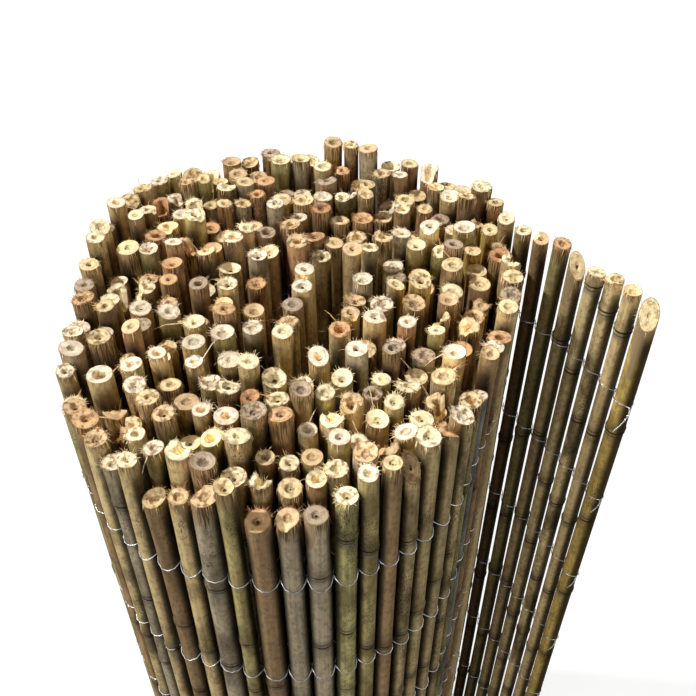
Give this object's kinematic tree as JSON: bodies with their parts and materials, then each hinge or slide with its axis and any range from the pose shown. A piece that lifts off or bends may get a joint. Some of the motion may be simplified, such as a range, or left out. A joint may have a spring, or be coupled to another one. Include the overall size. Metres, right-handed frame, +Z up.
{
  "type": "bamboo fence panel",
  "caption": "Rolled-up bamboo cane fence panel standing on end, canes bound side by side by twisted wire rows, with its free end swung out.",
  "frame": {"origin": "on the ground under the middle of the whole panel, free end included", "axes": "+Z up along the canes; +X to the right, where the free end points; the viewer of the picture is on -Y"},
  "size_m": [0.4127, 0.3722, 0.9],
  "materials": {
    "bamboo_cane": "dried bamboo skin, khaki to olive, with pale sawn ends",
    "galvanised_wire": "dull galvanised steel wire"
  },
  "bodies": {
    "root": {"free_cane_1": "bamboo_cane", "free_cane_2": "bamboo_cane", "free_cane_3": "bamboo_cane", "free_cane_4": "bamboo_cane", "free_cane_5": "bamboo_cane", "free_cane_6": "bamboo_cane", "free_cane_7": "bamboo_cane", "free_cane_8": "bamboo_cane", "front_cane_01": "bamboo_cane", "front_cane_02": "bamboo_cane", "front_cane_03": "bamboo_cane", "front_cane_04": "bamboo_cane", "front_cane_05": "bamboo_cane", "front_cane_06": "bamboo_cane", "front_cane_07": "bamboo_cane", "front_cane_08": "bamboo_cane", "front_cane_09": "bamboo_cane", "front_cane_10": "bamboo_cane", "front_cane_11": "bamboo_cane", "front_cane_12": "bamboo_cane", "front_cane_13": "bamboo_cane", "front_cane_14": "bamboo_cane", "inner_tail_canes": "bamboo_cane", "turn_1_canes": "bamboo_cane", "turn_2_canes": "bamboo_cane", "turn_3_canes": "bamboo_cane", "turn_4_canes": "bamboo_cane", "turn_5_canes": "bamboo_cane", "turn_6_canes": "bamboo_cane", "turn_7_canes": "bamboo_cane", "wire_row_1_inner_strand": "galvanised_wire", "wire_row_1_outer_strand": "galvanised_wire", "wire_row_2_inner_strand": "galvanised_wire", "wire_row_2_outer_strand": "galvanised_wire", "wire_row_3_inner_strand": "galvanised_wire", "wire_row_3_outer_strand": "galvanised_wire", "wire_row_4_inner_strand": "galvanised_wire", "wire_row_4_outer_strand": "galvanised_wire", "wire_row_5_inner_strand": "galvanised_wire", "wire_row_5_outer_strand": "galvanised_wire", "wire_row_6_inner_strand": "galvanised_wire", "wire_row_6_outer_strand": "galvanised_wire", "wire_row_7_inner_strand": "galvanised_wire", "wire_row_7_outer_strand": "galvanised_wire"}
  },
  "joints": []
}
